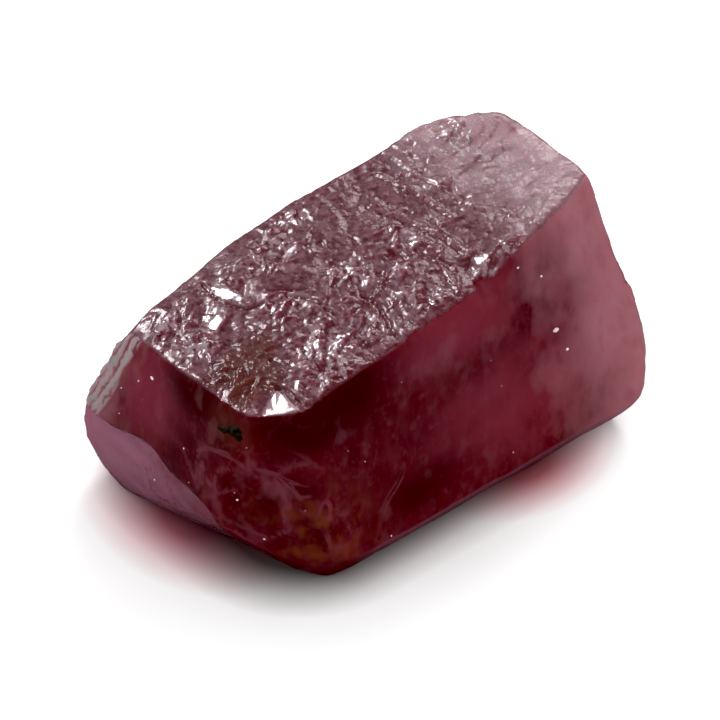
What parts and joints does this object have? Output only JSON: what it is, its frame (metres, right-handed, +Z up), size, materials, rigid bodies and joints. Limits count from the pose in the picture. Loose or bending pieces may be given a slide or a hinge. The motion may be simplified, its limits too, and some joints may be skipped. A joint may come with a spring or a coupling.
{
  "type": "raw ruby crystal",
  "caption": "Raw ruby crystal: a stubby, elongated corundum prism with a broad etched top, satin side faces and worn corners, lying on a flat side.",
  "frame": {"origin": "middle of the stone's box, on the surface it lies on", "axes": "+X along the crystal's long axis, towards its taller end; -Y out of the broad front side; +Z up"},
  "size_m": [0.0118, 0.0076, 0.0066],
  "materials": {
    "ruby": "translucent purplish-red corundum, etched and frosty on top, satin on the sides, with stained cracks and pale specks"
  },
  "bodies": {
    "root": {"ruby_crystal": "ruby"}
  },
  "joints": []
}
